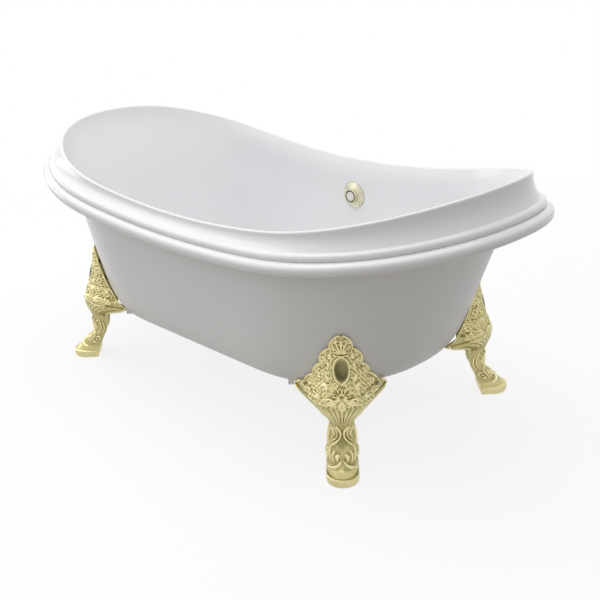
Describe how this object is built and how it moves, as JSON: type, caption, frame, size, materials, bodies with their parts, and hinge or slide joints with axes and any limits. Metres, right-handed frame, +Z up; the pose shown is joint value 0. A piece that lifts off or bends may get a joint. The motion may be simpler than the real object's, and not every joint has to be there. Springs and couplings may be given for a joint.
{
  "type": "clawfoot bathtub",
  "caption": "Freestanding white cast iron bath with a moulded saddle rim, ornate gilded claw feet, overflow dial and pop-up drain.",
  "frame": {"origin": "on the floor under the middle of the bath", "axes": "+X along the bath to its right-hand end, +Y to the wall that carries the overflow, +Z up"},
  "size_m": [1.8288, 0.9356, 0.8],
  "materials": {
    "enamel": "glossy white vitreous enamel",
    "gilded_iron": "gilded casting",
    "gilded_brass": "polished gilding",
    "plain_brass": "satin",
    "zinc_steel": "zinc plated",
    "black_rubber": "matt",
    "steel_cable": "wire"
  },
  "bodies": {
    "bath": {"tub_shell": "enamel", "foot_front_right": "gilded_iron", "foot_back_right": "gilded_iron", "foot_back_left": "gilded_iron", "foot_front_left": "gilded_iron", "foot_studs": "zinc_steel", "foot_washers": "zinc_steel", "foot_nuts": "zinc_steel", "overflow_plate": "gilded_brass", "overflow_clamp": "plain_brass", "overflow_screws": "plain_brass", "overflow_gasket": "black_rubber", "overflow_elbow": "plain_brass", "overflow_pipe": "plain_brass", "slip_nuts": "plain_brass", "slip_washers": "black_rubber", "waste_tee": "plain_brass", "waste_pipe": "plain_brass", "tailpiece": "plain_brass", "drain_gasket": "black_rubber", "drain_flange": "gilded_brass", "drain_shoe": "plain_brass", "drain_cable": "steel_cable"},
    "dial": {"overflow_dial": "gilded_brass", "dial_crank": "plain_brass"},
    "stopper": {"drain_stopper": "gilded_brass", "stopper_seal": "black_rubber", "stopper_stem": "plain_brass"}
  },
  "joints": [
    {"name": "dial_turn", "type": "hinge", "parent": "bath", "child": "dial", "pos_m": [0, 0.38, 0.524], "axis": [0, 1, 0], "range_deg": [0, 90]},
    {"name": "stopper_lift", "type": "slide", "parent": "bath", "child": "stopper", "axis": [0, 0, 1], "range_m": [0, 0.012]}
  ],
  "couplings": [
    {"joint": "stopper_lift", "follows": "dial_turn", "m_per_rad": 0.007633}
  ]
}
